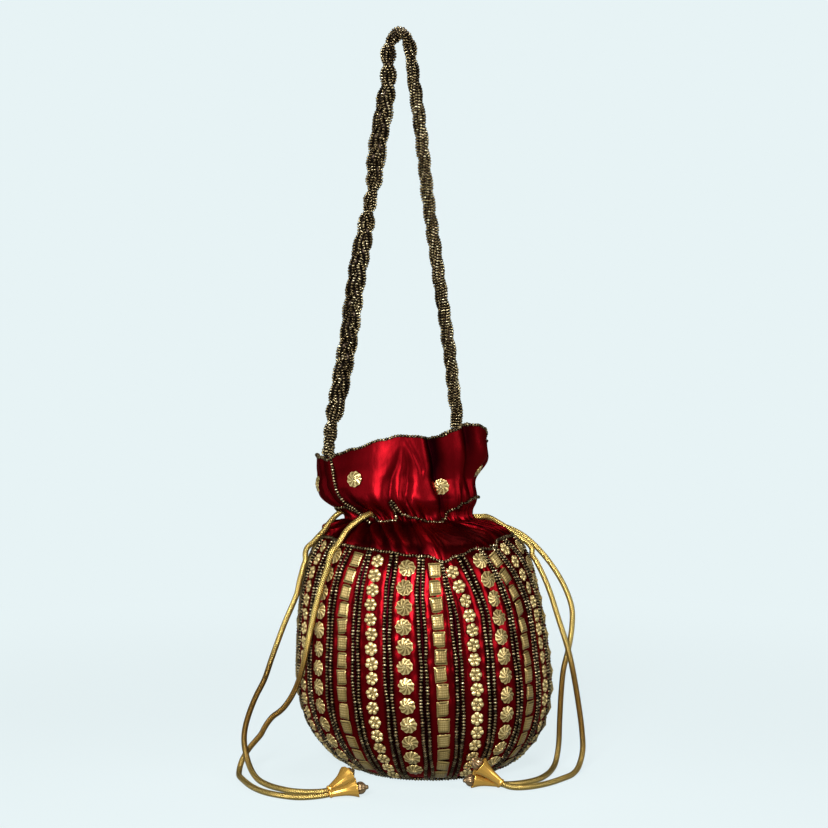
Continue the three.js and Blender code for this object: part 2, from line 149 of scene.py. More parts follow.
def lean(z, column):
    """The value at a height in one column of LEAN."""
    return np.interp(z, LEAN_Z, SMOOTH_LEAN[column])


def unit(vectors):
    """Vectors made one long."""
    return vectors / np.linalg.norm(vectors, axis=-1, keepdims=True)


def on_bag(degrees, r, z):
    """Points at an angle, a radius of the upright round form, and a height."""
    degrees, r, z = np.broadcast_arrays(np.asarray(degrees, float), r, z)
    a = np.radians(degrees)
    x = lean(z, 1) + r * np.sin(a) * lean(z, 2)
    y = -r * np.cos(a) * lean(z, 3)
    return np.stack([x, y, np.asarray(z, float)], -1)


def smooth_curve(points, count):
    """A smooth curve through points, as count evenly spaced points."""
    p = np.asarray(points, float)
    steps = np.linalg.norm(np.diff(p, axis=0), axis=1) ** 0.5
    knots = np.concatenate([[0], np.cumsum(steps)])
    slopes = np.gradient(p, knots, axis=0)
    t = np.linspace(0, knots[-1], count * 6)
    i = np.clip(np.searchsorted(knots, t, side="right") - 1, 0, len(p) - 2)
    width = (knots[i + 1] - knots[i])[:, None]
    s = (t - knots[i])[:, None] / width
    fine = (
        (2 * s**3 - 3 * s**2 + 1) * p[i]
        + (s**3 - 2 * s**2 + s) * width * slopes[i]
        + (3 * s**2 - 2 * s**3) * p[i + 1]
        + (s**3 - s**2) * width * slopes[i + 1]
    )
    return evenly(fine, count)


def distances(points):
    """The distance from a path's start to each of its points."""
    return np.concatenate([[0], np.cumsum(np.linalg.norm(np.diff(points, axis=0), axis=1))])


def evenly(points, count):
    """A path's points spaced evenly."""
    run = distances(points)
    at = np.linspace(0, run[-1], count)
    return np.stack([np.interp(at, run, points[:, k]) for k in range(3)], 1)


def path_length(points):
    return float(distances(points)[-1])


def flat_curve(rows, count):
    """A smooth curve through rows of radius and height."""
    return smooth_curve(np.column_stack([rows, np.zeros(len(rows))]), count)[:, :2]


PROFILE_CURVE = flat_curve(PROFILE, 400)
PROFILE_RUN = distances(PROFILE_CURVE)


def run_at_height(z):
    """The distance up the profile at which the cloth reaches a height."""
    return np.interp(z, PROFILE_CURVE[:, 1], PROFILE_RUN)


def profile(run):
    """Radius and height of the cloth at a distance up the profile."""
    return np.interp(run, PROFILE_RUN, PROFILE_CURVE[:, 0]), np.interp(run, PROFILE_RUN, PROFILE_CURVE[:, 1])


def pulled(degrees, z):
    """The angle that the gathers pull a line of the bag to, at a height."""
    pulls = [[FIRST_COLUMN + COLUMN_STEP * k, pull] for k, pull in enumerate(TOP_PULL)]
    rise = np.clip((z - PULL_FROM) / (PULL_TO - PULL_FROM), 0, 1.25)
    return degrees + around(pulls, degrees) * rise**1.5


def pouch_point(degrees, run):
    """A point of the pouch's cloth, puffed between its rows of stitches."""
    r, z = profile(run)
    phase = (degrees - FIRST_COLUMN) / COLUMN_STEP
    # Each column's cloth rises beside the studs, and is drawn in where the bead strings are sewn.
    puff = 1.5 * np.abs(np.sin(2 * np.pi * phase)) ** 0.8 - 0.8 * np.exp(-(((phase % 1) - 0.5) / 0.07) ** 2)
    tug = 0.1 * np.sin(run / 1.6 + 7 * np.sin(3.1 * degrees))
    tug = tug + 0.1 * np.sin(run / 3.7 + 5 * np.sin(1.7 * degrees))
    fade = np.clip(run / 12, 0, 1)
    return on_bag(pulled(degrees, z), r + puff * (1 + tug) * fade - 0.4, z)


def frames_on_pouch(degrees, run):
    """Places and frames (sideways, up, outwards) on the pouch, without its puffs."""

    def flat(d, s):
        r, z = profile(s)
        return on_bag(pulled(d, z), r, z)

    place = flat(degrees, run)
    up = unit(flat(degrees, run + 0.5) - flat(degrees, run - 0.5))
    out = unit(np.cross(flat(degrees + 0.3, run) - flat(degrees - 0.3, run), up))
    return place, np.stack([np.cross(up, out), up, out], -1)


# ---- Making pieces ----------------------------------------------------------


def mesh_piece(name, points, faces, material, values=None, uv=None):
    """A piece from points in mm and lists of faces, with a value per point for its material to read."""
    mesh = bpy.data.meshes.new(name)
    flat = np.concatenate([np.asarray(f).ravel() for f in faces]).astype(np.int32)
    sizes = np.concatenate([np.full(len(f), np.asarray(f).shape[1]) for f in faces]).astype(np.int32)
    starts = np.concatenate([[0], np.cumsum(sizes)[:-1]]).astype(np.int32)
    mesh.vertices.add(len(points))
    mesh.vertices.foreach_set("co", (np.asarray(points, np.float64) * 0.001).astype(np.float32).ravel())
    mesh.loops.add(len(flat))
    mesh.loops.foreach_set("vertex_index", flat)
    mesh.polygons.add(len(sizes))
    mesh.polygons.foreach_set("loop_start", starts)
    mesh.polygons.foreach_set("use_smooth", np.ones(len(sizes), bool))
    mesh.update(calc_edges=True)
    mesh.validate()
    if values is not None:
        attribute = mesh.attributes.new("shade", "FLOAT", "POINT")
        attribute.data.foreach_set("value", np.asarray(values, np.float32))
    if uv is not None:
        layer = mesh.uv_layers.new(name="along")
        layer.data.foreach_set("uv", np.asarray(uv, np.float32)[flat].ravel())
    mesh.materials.append(material)
    piece = bpy.data.objects.new(name, mesh)
    bpy.context.scene.collection.objects.link(piece)
    return piece


def grid_faces(rows, columns, closed=False):
    """Quads of a grid of points, row by row, whose columns may close on themselves."""
    i, j = np.meshgrid(np.arange(rows - 1), np.arange(columns if closed else columns - 1), indexing="ij")
    k = (j + 1) % columns
    low, high = i * columns, (i + 1) * columns
    return np.stack([low + j, low + k, high + k, high + j], -1).reshape(-1, 4)


class Heap:
    """Gathers copies of small shapes into one piece."""

    def __init__(self):
        self.points, self.faces, self.values, self.count = [], {}, [], 0

    def add(self, shape, places, frames, values=None, scale=1.0):
        """Copies of a shape (points, faces, shades) at places, turned to frames."""
        base, faces, shade = shape
        size = np.broadcast_to(np.asarray(scale, float).reshape(-1, 1, 1), (len(places), 1, 1))
        moved = np.einsum("nij,vj->nvi", frames, base) * size + places[:, None, :]
        # Each copy's value, a random tone on studs and a painted glint on beads, is added to its shape's
        # painted shade.
        tone_and_glint = np.zeros(len(places)) if values is None else values
        self.points.append(moved.reshape(-1, 3))
        self.values.append((tone_and_glint[:, None] + shade[None, :]).ravel())
        offsets = self.count + np.arange(len(places)) * len(base)
        for f in faces:
            corners = f.shape[1]
            moved_faces = (f[None] + offsets[:, None, None]).reshape(-1, corners)
            self.faces.setdefault(corners, []).append(moved_faces)
        self.count += len(places) * len(base)

    def add_sheet(self, points, faces, value):
        """A surface of one shade."""
        self.points.append(points)
        self.values.append(np.full(len(points), value))
        self.faces.setdefault(faces.shape[1], []).append(faces + self.count)
        self.count += len(points)

    def piece(self, name, material):
        faces = [np.concatenate(fs) for fs in self.faces.values()]
        return mesh_piece(name, np.concatenate(self.points), faces, material, np.concatenate(self.values))


def circle(sides):
    """The angles of a ring of points."""
    return 2 * np.pi * np.arange(sides) / sides


def polar_shape(radii, heights, sides, outline):
    """A dome of rings: heights gives a ring's heights and painted shade, and outline stretches the outer rings.
    """
    angle = circle(sides)
    points, shade = [[0, 0, heights(0.0, np.zeros(1))[0][0]]], [0.0]
    for rho in radii:
        h, dark = heights(rho, angle)
        r = rho * (outline(angle) if rho > 0.35 * radii[-1] else np.ones(sides))
        points += np.stack([r * np.cos(angle), r * np.sin(angle), h], 1).tolist()
        shade += dark.tolist()
    base = np.array(points)
    edge = base[-sides:].copy()
    edge[:, 2] = 0
    base = np.concatenate([base, edge])
    # The edge down to the cloth is painted dark, as shade under the stud's rim.
    shade += [0.9] * sides
    corner = np.arange(sides)
    hub = np.stack([np.zeros(sides, int), 1 + corner, 1 + (corner + 1) % sides], 1)
    return base, [hub, grid_faces(len(radii) + 1, sides, True) + 1], np.array(shade)


def rounded_bead(radius, length, sides):
    """A seed bead along its Z: a narrow ring, a wide one and a narrow one, with painted shade on the narrow
    ones.
    """
    rings = [(-0.5 * length, 0.5), (0, 1), (0.5 * length, 0.5)]
    points = [
        [radius * share * math.cos(a), radius * share * math.sin(a), z]
        for z, share in rings
        for a in circle(sides)
    ]
    # The narrow end rings carry painted shade.
    shade = np.repeat([-1.0, 0, -1.0], sides)
    low, high = np.arange(sides)[::-1][None], (2 * sides + np.arange(sides))[None]
    return np.array(points), [grid_faces(3, sides, True), low, high], shade


def frames_along(points):
    """A frame at each point of a path whose third axis runs along the path."""
    along = unit(np.gradient(points, axis=0))
    helper = np.where(np.abs(along[:, 2:3]) < 0.9, [[0.0, 0.0, 1.0]], [[1.0, 0.0, 0.0]])
    side = unit(np.cross(helper, along))
    return np.stack([side, np.cross(along, side), along], -1)


BEAD = rounded_bead(1.1, 1.75, 6)
BEAD_PITCH = 2.0


def string_beads(heap, points, pitch=BEAD_PITCH, size=1.15, glint_range=(0.35, 1.0)):
    """Strings seed beads along a path, with a little unevenness and a random painted glint on each."""
    count = max(2, int(round(path_length(points) / pitch)) + 1)
    places = evenly(points, count)
    frames = frames_along(places)
    places = places + rng.normal(0, 0.07, places.shape)
    tilt = rng.normal(0, 0.12, (count, 2))
    third = unit(frames[:, :, 2] + frames[:, :, 0] * tilt[:, :1] + frames[:, :, 1] * tilt[:, 1:])
    first = unit(np.cross(frames[:, :, 1], third))
    frames = np.stack([first, np.cross(third, first), third], -1)
    # Each bead's brightness from the range is its painted glint.
    heap.add(BEAD, places, frames, rng.uniform(*glint_range, count), size * rng.uniform(0.92, 1.06, count))


# The height at which the braid's painted shade is deepest, so the braid brownest, how far that reaches up and
# down, and how strong it is.
BRAID_SHADE_AT, BRAID_SHADE_REACH, BRAID_SHADE_STRENGTH = 45, 38, 0.95


def tube(name, points, radius, sides, material):
    """A round cord along a path."""
    frames = frames_along(points)
    # Each frame follows the one before it, so that the braid doesn't twist.
    for i in range(1, len(points)):
        side = frames[i - 1, :, 0] - frames[i, :, 2] * (frames[i - 1, :, 0] @ frames[i, :, 2])
        frames[i, :, 0] = unit(side)
        frames[i, :, 1] = np.cross(frames[i, :, 2], frames[i, :, 0])
    angle = 2 * np.pi * np.arange(sides + 1) / sides
    ring = np.stack([radius * np.cos(angle), radius * np.sin(angle), 0 * angle], 1)
    shell = np.einsum("nij,vj->nvi", frames, ring) + points[:, None, :]
    turns = angle[None, :] / (2 * np.pi)
    uv = np.stack(np.broadcast_arrays(turns, distances(points)[:, None]), -1).reshape(-1, 2)
    ends = [np.arange(sides)[::-1][None], (len(points) - 1) * (sides + 1) + np.arange(sides)[None]]
    faces = [grid_faces(len(points), sides + 1), *ends]
    # Painted shade: the braid is darkened to brown where it hangs low.
    brown = np.exp(-(((shell[..., 2] - BRAID_SHADE_AT) / BRAID_SHADE_REACH) ** 4)).ravel()
    return mesh_piece(name, shell.reshape(-1, 3), faces, material, brown, uv)


# ---- Materials --------------------------------------------------------------


def material(name, color, roughness, metallic, **extra):
    """A material, its node tree and its shader."""
    made = bpy.data.materials.new(name)
    made.use_nodes = True
    shader = made.node_tree.nodes["Principled BSDF"]
    shader.inputs["Base Color"].default_value = (*color, 1)
    shader.inputs["Roughness"].default_value = roughness
    shader.inputs["Metallic"].default_value = metallic
    for key, value in extra.items():
        shader.inputs[key.replace("_", " ")].default_value = value
    return made, made.node_tree, shader


def add_node(tree, kind, **settings):
    """A node with its inputs or its own settings set by name."""
    node = tree.nodes.new(kind)
    for key, value in settings.items():
        if key in node.inputs:
            node.inputs[key].default_value = value
        else:
            setattr(node, key, value)
    return node


def color_by(tree, shader, source, stops):
    """Colours a material by a value, with a ramp of [place, colour] stops."""
    node = tree.nodes.new("ShaderNodeValToRGB")
    while len(node.color_ramp.elements) < len(stops):
        node.color_ramp.elements.new(0.5)
    for element, (place, color) in zip(node.color_ramp.elements, stops):
        element.position = place
        element.color = (*color, 1)
    tree.links.new(source, node.inputs["Fac"])
    tree.links.new(node.outputs["Color"], shader.inputs["Base Color"])


def shade_of(tree):
    """The painted shade that each point of a piece carries, with random tone on the studs and painted glints on
    the beads.
    """
    return add_node(tree, "ShaderNodeAttribute", attribute_name="shade").outputs["Fac"]


def add_bump(tree, shader, height, strength, distance):
    """Small relief from a value, with its depth in metres."""
    bump = add_node(tree, "ShaderNodeBump", Strength=strength, Distance=distance)
    tree.links.new(height, bump.inputs["Height"])
    tree.links.new(bump.outputs["Normal"], shader.inputs["Normal"])


SATIN_RED = (0.16, 0.0022, 0.0046)


def satin_material(name, wrinkle_stretch, wrinkle_depth, roughness):
    """Red satin darkened by the painted shade that each point carries, with fine wrinkles."""
    made, tree, shader = material(
        name, SATIN_RED, roughness, 0.9, Specular_IOR_Level=0.2, Specular_Tint=(1.0, 0.2, 0.25, 1.0)
    )
    # The reds that the painted shade runs through, from lit satin to deep shade.
    reds = [(0.0, SATIN_RED), (0.5, (0.066, 0.0007, 0.0018)), (1.0, (0.012, 0, 0.001))]
    color_by(tree, shader, shade_of(tree), reds)
    place = add_node(tree, "ShaderNodeTexCoord")
    stretch = add_node(tree, "ShaderNodeMapping")
    stretch.inputs["Scale"].default_value = wrinkle_stretch
    tree.links.new(place.outputs["Object"], stretch.inputs["Vector"])
    wrinkles = add_node(tree, "ShaderNodeTexNoise", Scale=1.0, Detail=3.0, Roughness=0.55)
    tree.links.new(stretch.outputs["Vector"], wrinkles.inputs["Vector"])
    add_bump(tree, shader, wrinkles.outputs["Fac"], 1.0, wrinkle_depth)
    return made


def gold_material():
    """Stamped studs: pale gold on the ridges, painted shade in the creases, finely pitted."""
    made, tree, shader = material("gold_with_painted_shade", (0.62, 0.50, 0.22), 0.3, 0.6)
    # From bare pale gold to the deepest painted shade.
    golds = [(0.0, (0.86, 0.7, 0.33)), (0.4, (0.42, 0.3, 0.1)), (1.0, (0.04, 0.025, 0.007))]
    color_by(tree, shader, shade_of(tree), golds)
    place = add_node(tree, "ShaderNodeTexCoord")
    pits = add_node(tree, "ShaderNodeTexNoise", Scale=900.0, Detail=2.0)
    tree.links.new(place.outputs["Object"], pits.inputs["Vector"])
    add_bump(tree, shader, pits.outputs["Fac"], 0.5, 0.0003)
    return made


def bead_material():
    """Dark bronze seed beads, each of its own brightness as a painted glint, with painted shade at its ends."""
    made, tree, shader = material("dark_bronze_beads", (0.06, 0.04, 0.02), 0.3, 0.9)
    # From deep painted shade through dark bronze to a pale painted glint.
    bronzes = [
        (0.0, (0.01, 0.006, 0.003)), (0.06, (0.06, 0.04, 0.018)), (0.5, (0.15, 0.105, 0.048)),
        (0.8, (0.45, 0.36, 0.18)), (1.0, (0.95, 0.84, 0.56)),
    ]
    color_by(tree, shader, shade_of(tree), bronzes)
    return made


# Threads of the braid that wind each way, and how fast their pattern runs along it, in radians a millimetre.
BRAID_THREADS, BRAID_PER_MM = 5, 4.2


def cord_material():
    """Gold braid: threads that wind both ways round the cord, brown between them, with painted shade where it
    hangs low.
    """
    made, tree, shader = material("gold_braid", (0.66, 0.43, 0.10), 0.33, 0.85)
    place = add_node(tree, "ShaderNodeUVMap", uv_map="along")
    split = tree.nodes.new("ShaderNodeSeparateXYZ")
    tree.links.new(place.outputs["UV"], split.inputs["Vector"])

    def slanted(turns):
        """A wave along the cord that climbs round it, so many times in a turn."""
        across = add_node(tree, "ShaderNodeMath", operation="MULTIPLY")
        across.inputs[1].default_value = turns * 2 * math.pi
        tree.links.new(split.outputs["X"], across.inputs[0])
        total = add_node(tree, "ShaderNodeMath", operation="MULTIPLY_ADD")
        total.inputs[1].default_value = BRAID_PER_MM
        tree.links.new(split.outputs["Y"], total.inputs[0])
        tree.links.new(across.outputs[0], total.inputs[2])
        wave = add_node(tree, "ShaderNodeMath", operation="SINE")
        tree.links.new(total.outputs[0], wave.inputs[0])
        return wave.outputs[0]

    both = add_node(tree, "ShaderNodeMath", operation="MAXIMUM")
    tree.links.new(slanted(BRAID_THREADS), both.inputs[0])
    tree.links.new(slanted(-BRAID_THREADS), both.inputs[1])
    # The point's painted shade lowers the braid's colour towards brown.
    braid_shade = add_node(tree, "ShaderNodeMath", operation="MULTIPLY_ADD")
    braid_shade.inputs[1].default_value = -BRAID_SHADE_STRENGTH
    tree.links.new(shade_of(tree), braid_shade.inputs[0])
    tree.links.new(both.outputs[0], braid_shade.inputs[2])
    color_by(tree, shader, braid_shade.outputs[0], [(0.0, (0.17, 0.085, 0.014)), (1.0, (1.0, 0.76, 0.22))])
    add_bump(tree, shader, both.outputs[0], 0.6, 0.0003)
    return made


POUCH_SATIN = satin_material("pouch_satin", (120, 120, 60), 0.0006, 0.3)
COLLAR_SATIN = satin_material("collar_satin", (70, 70, 30), 0.001, 0.42)
GOLD = gold_material()
BRIGHT_GOLD, _, _ = material("bright_gold", (0.85, 0.48, 0.09), 0.27, 0.7)
DULL_BRASS, _, _ = material("dull_brass", (0.3, 0.2, 0.1), 0.34, 0.8)
BEADS = bead_material()
CORD = cord_material()


def keep(piece, slot, *nodes):
    """Puts a piece on the bag in place of the CAD nodes that it stands for."""
    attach(piece, "root")
    if nodes:
        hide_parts(*nodes)


def nodes_named(prefix):
    """The CAD nodes whose names start with a prefix."""
    return [node for node in sorted(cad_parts) if node.startswith(prefix)]


# ---- Pouch ------------------------------------------------------------------

POUCH_ROWS = 116
angles = np.linspace(-180, 180, 15 * COLUMNS + 1)[:-1]
top = run_at_height(around(SEAM, angles) + 1.5)
shares = np.linspace(0, 1, POUCH_ROWS)[:, None]
grid = pouch_point(angles[None, :], shares * top[None, :])
# Painted shade: the satin is darkened in the creases under the bead strings and beside the studs.
off_row = np.abs((angles - FIRST_COLUMN) / COLUMN_STEP % 1 - 0.5)
off_stud = 0.5 - off_row
row_shade = np.exp(-((off_row / 0.17) ** 4)) + 0.35 * np.exp(-((off_stud / 0.2) ** 4))
row_shade = np.tile(row_shade, POUCH_ROWS)
pouch_faces = [grid_faces(POUCH_ROWS, len(angles), True)]
pouch = mesh_piece("pouch_cloth", grid.reshape(-1, 3), pouch_faces, POUCH_SATIN, row_shade)
keep(pouch, "satin", "pouch_panel")

# ---- Studs on the pouch -----------------------------------------------------


def pinwheel_height(rho, angle):
    """A dome with nine swirled grooves and a knob: its height, and the painted shade in its grooves."""
    dome = 2.1 * (1 - 0.62 * (rho / 5.7) ** 2)
    swirl = np.sin(9 * angle + 1.1 * rho)
    window = np.clip((rho - 0.9) / 0.8, 0, 1) * np.clip((5.9 - rho) / 0.5, 0, 1)
    knob = 0.5 * np.exp(-((rho / 0.8) ** 2))
    return dome - 0.42 * window * (0.5 - 0.5 * swirl) + knob, 0.8 * window * (0.5 - 0.5 * swirl)


def flower_height(rho, angle):
    """Six petals round a knob: their height, and the painted shade in the ring round the knob and in the
    creases between them.
    """
    petal = np.abs(np.cos(3 * angle))
    ring = np.exp(-(((rho - 1.35) / 0.35) ** 2))
    body = 1.0 + 0.75 * np.exp(-(((rho - 2.7) / 1.0) ** 2)) * petal**0.7
    knob = 0.9 * np.exp(-((rho / 0.75) ** 2))
    creases = np.clip((rho - 1.4) / 0.6, 0, 1) * (1 - petal) ** 2
    return body - 0.6 * ring - 0.5 * creases + knob, 0.8 * np.clip(ring + creases, 0, 1) + 0 * angle


def square_shape(half_width, half_length, columns, rows):
    """An embossed plate with pillowed edges and a raised lattice, with painted shade in its hollows, its frame
    groove and its falling edges.
    """
    u, v = np.meshgrid(np.linspace(-1, 1, columns), np.linspace(-1, 1, rows))
    pillow = (1 - np.abs(u) ** 6) * (1 - np.abs(v) ** 6)
    lattice = 0.5 + 0.5 * np.cos(3 * np.pi * (u + v)) * np.cos(3 * np.pi * (u - v))
    frame_band = np.exp(-(((np.maximum(np.abs(u), np.abs(v)) - 0.78) / 0.07) ** 2))
    height = pillow * (1.0 + 0.38 * lattice) - 0.3 * frame_band
    points = np.stack([u * half_width, v * half_length, np.maximum(height, 0)], -1).reshape(-1, 3)
    # Painted shade in the lattice's hollows, in the frame groove and on the edges that fall to the cloth.
    shade = np.clip(0.75 * (1 - lattice) * pillow + 0.6 * frame_band, 0, 0.9) + 0.35 * (1 - pillow)
    return points, [grid_faces(rows, columns)], shade.ravel()


PINWHEEL = polar_shape(
    [0.8, 1.6, 2.5, 3.4, 4.3, 5.1, 5.6, 5.8], pinwheel_height, 54, lambda a: 0.91 + 0.05 * np.sin(9 * a + 6.3)
)
FLOWER = polar_shape(
    [0.7, 1.3, 1.9, 2.6, 3.3, 3.9, 4.4], flower_height, 36, lambda a: 0.84 + 0.16 * np.abs(np.cos(3 * a)) ** 0.6
)
SQUARE = square_shape(4.15, 5.1, 15, 19)
# Each kind of stud in the order of the columns: its shape, its pitch up the column, how far its back is off
# the cloth, its unevenness, and whether it is sewn on at any turn.
KINDS = [
    ("pinwheel", PINWHEEL, 12.6, 0.5, 0.05, True),
    ("square", SQUARE, 11.1, 0.6, 0.06, False),
    ("flower", FLOWER, 9.5, 0.4, 0.07, True),
]


SHOULDER = 150.0


def seam_height(degrees):
    """The seam's height where the gathers pull a line of the pouch to it."""
    return float(around(SEAM, pulled(degrees, SHOULDER)))


# The height of the lowest stud's edge, and how far the studs end below the seam.
STUDS_FROM, STUDS_BELOW_SEAM = 6.5, 2.5


def studs(first, name, shape, pitch, off, wobble, any_turn):
    """All the studs of one kind, in every third column from the first."""
    heap = Heap()
    for column in range(first, COLUMNS, len(KINDS)):
        degrees = FIRST_COLUMN + COLUMN_STEP * column
        start = run_at_height(STUDS_FROM)
        end = run_at_height(seam_height(degrees) - STUDS_BELOW_SEAM) - pitch * 0.5
        count = int((end - start) // pitch) + 1
        run = end - pitch * np.arange(count)[::-1]
        place, axes = frames_on_pouch(np.full(count, degrees), run)
        tilt = rng.normal(0, wobble, (count, 3))
        turn = rng.uniform(-math.pi, math.pi, count) if any_turn else rng.normal(0, 0.04, count)
        wobbled = []
        for k in range(count):
            spin = Matrix.Rotation(turn[k], 3, "Z")
            lean_back = Matrix.Rotation(tilt[k, 0], 3, "X") @ Matrix.Rotation(tilt[k, 1], 3, "Y")
            wobbled.append(axes[k] @ np.array(lean_back @ spin))
        place = place + axes[:, :, 2] * off + axes[:, :, 0] * tilt[:, 2:] * 4
        heap.add(shape, place, np.array(wobbled), rng.uniform(0, 0.15, count), rng.uniform(0.96, 1.03, count))
    keep(heap.piece(f"{name}_studs", GOLD), "gold", *nodes_named(f"{name}_column"))


for first, row in enumerate(KINDS):
    studs(first, *row)

# ---- Double strings of seed beads between the columns -----------------------

ROW_PITCH, ROW_BEAD_SIZE = 2.1, 1.24
for half, first in (("front", -90), ("back", 90)):
    heap = Heap()
    for k in range(COLUMNS // 2):
        middle = first + COLUMN_STEP * k
        sway = rng.uniform(0, 6.28, 2)
        for side in (-1, 1):
            run = np.linspace(run_at_height(2.2), run_at_height(seam_height(middle) - 0.5), 120)
            r, z = profile(run)
            spread = 1.95 + 0.2 * np.sin(run / 9 + sway[0])
            wander = 0.45 * np.sin(run / 14 + sway[0]) + 0.25 * np.sin(run / 5.2 + sway[1] + side)
            degrees = middle + np.degrees((side * spread + wander) / r)
            string_beads(heap, on_bag(pulled(degrees, z), r + 0.9, z), ROW_PITCH, ROW_BEAD_SIZE)
    keep(heap.piece(f"row_beads_{half}", BEADS), "beads")

# ---- Collar -----------------------------------------------------------------

# Radius and height of the collar above the waist, before its rim is cut wavy.
COLLAR = flat_curve(
    [
        [44.5, 171], [43.4, 174], [45, 178], [48.6, 182.5], [51.8, 188], [54, 195], [56.2, 204], [58.6, 214],
        [59.6, 221], [60.3, 226],
    ],
    200,
)
COLLAR_SHARES = np.linspace(0, 1, len(COLLAR))
CASING_TOP = 176
pleat_noise = rng.uniform(0, 2 * math.pi, 8)


def gathers(degrees, fineness=1.0):
    """Small uneven pleats, from about -1.3 in their creases to 1 on their ridges."""
    a = np.radians(degrees)
    warp = 0.9 * np.sin(3 * a + pleat_noise[0]) + 0.7 * np.sin(5 * a + pleat_noise[1])
    warp = warp + 0.5 * np.sin(9 * a + pleat_noise[2])
    size = 1 + 0.4 * np.sin(7 * a + pleat_noise[3]) + 0.35 * np.sin(11 * a + pleat_noise[4])
    coarse = np.abs(np.sin(24 * a + 1.3 * warp)) ** 0.7
    fine = np.abs(np.sin(43 * a + 2.1 * warp + pleat_noise[5])) ** 0.8
    return size * (1.4 * coarse + 0.9 * fineness * fine - 1.3)


def folds(degrees, share):
    """Broad sharp-ridged pleats of the shoulder, from -0.35 between them to 0.65 on a ridge."""
    a = np.radians(degrees)
    sway = 1.1 * np.sin(3 * a + pleat_noise[6]) + 0.8 * np.sin(5 * a + pleat_noise[7])
    sway = sway + 0.9 * np.sin(2.4 * share + 4 * a)
    return (1 - np.abs(np.sin(12 * a + sway))) ** 1.3 - 0.35


def crease_depth(degrees, share, creases=CREASES):
    """How far the creases of a table press in, at an angle and a share of the way up."""
    total = np.zeros(np.broadcast(degrees, share).shape)
    for rows in creases:
        at, angle, half_width, depth = np.array(rows, float).T
        off = (degrees - np.interp(share, at, angle) + 180) % 360 - 180
        deep = np.interp(share, at, depth) * (share >= at[0] - 0.06)
        deep = deep * np.exp(-((off / np.interp(share, at, half_width)) ** 2))
        total = np.maximum(total, deep + 0.35 * total)
    return total


def shoulder_point(degrees, share):
    """The gathered cloth between the seam (0) and the waist (1)."""
    low = run_at_height(around(SEAM, degrees))
    run = low + share * (PROFILE_RUN[-1] - low)
    r, z = profile(run)
    slanted = degrees - around(SLANT, degrees) * (1 - share)
    depth = 1.5 * ease(np.clip(share / 0.75, 0, 1)) + 0.3
    bulge = 2.0 * np.sin(np.pi * np.clip(share, 0, 1)) ** 0.8
    pleat = gathers(slanted) + 3.2 * folds(slanted, share)
    sag = 0.45 * crease_depth(degrees, np.zeros_like(share)) * ease(np.clip(share, 0, 1))
    return on_bag(degrees, r + bulge + depth * pleat - sag, z + 0.35 * bulge)


def collar_point(degrees, share, out=0.0):
    """The collar between its waist (0) and its rim (1)."""
    r = np.interp(share, COLLAR_SHARES, COLLAR[:, 0])
    z = np.interp(share, COLLAR_SHARES, COLLAR[:, 1])
    # The rim's waves stretch the cloth from the casing up.
    rise = np.clip((z - CASING_TOP) / (COLLAR[-1, 1] - CASING_TOP), 0, 1)
    z_cut = z + (around(RIM, degrees) - COLLAR[-1, 1]) * rise**1.3
    fine = 1.9 * np.exp(-((share / 0.14) ** 2)) + 0.35 * np.exp(-((share - 0.2) / 0.2) ** 2)
    blouse = 2.4 * np.exp(-(((share - 0.3) / 0.16) ** 2))
    soft = 0.5 * np.sin(np.radians(9 * degrees) + 5 * share) * np.sin(3.1 * share)
    radius = r + crease_depth(degrees, share, SWELLS) - crease_depth(degrees, share) + blouse + soft
    radius = radius + fine * gathers(degrees + 8 * share, 0.6)
    # At the right the cloth flares below the rim and turns in at it.
    flare = 3.5 * np.exp(-(((degrees - 84) / 22) ** 2))
    flare = flare * (np.exp(-(((share - 0.78) / 0.14) ** 2)) - 0.5 * share**6)
    placed = on_bag(degrees, radius + flare + out, z)
    placed[..., 2] = z_cut
    return placed


wide = np.linspace(-180, 180, 601)[None, :-1]
up_shoulder = np.linspace(-0.03, 1, 30)[:, None]
up_collar = np.linspace(0.015, 1, 84)[:, None]
grid = np.concatenate([shoulder_point(wide, up_shoulder), collar_point(wide, up_collar)])
# Painted shade: the shoulder is half shaded all over and darker between its pleats, and the satin is darkened
# in the gathers at the waist, in the collar's creases and in the patches of painted shade on its front.
low_shade = 0.5 + 0.1 * ease(np.clip(up_shoulder, 0, 1)) - 0.1 * gathers(wide)
low_shade = low_shade - 0.95 * folds(wide - around(SLANT, wide) * (1 - up_shoulder), up_shoulder)
high_shade = crease_depth(wide, up_collar) / 9 - 0.25 * gathers(wide) * np.exp(-((up_collar / 0.16) ** 2))
high_shade = high_shade + 0.3 * np.exp(-((up_collar / 0.12) ** 2)) + crease_depth(wide, up_collar, PAINTED_SHADE_PATCHES)
shades = np.clip(np.concatenate([low_shade, high_shade]), 0, 1)
collar_faces = [grid_faces(len(grid), wide.size, True)]
collar = mesh_piece("collar_cloth", grid.reshape(-1, 3), collar_faces, COLLAR_SATIN, shades.ravel())
keep(collar, "satin", "collar", "drawstring_left_in_casing", "drawstring_right_in_casing")


def share_at_height(z):
    """The collar's share at which it reaches a height below 180 mm or so."""
    return np.interp(z, COLLAR[:, 1], COLLAR_SHARES)


# ---- Bead strings of the collar and the base --------------------------------


def sewn_strings(name, node, *paths):
    """A piece of bead strings along paths."""
    heap = Heap()
    for path in paths:
        string_beads(heap, path)
    keep(heap.piece(name, BEADS), "beads", node)


edge_turn = np.linspace(-180, 180, 1441)
seam_r, seam_z = profile(run_at_height(around(SEAM, edge_turn)))
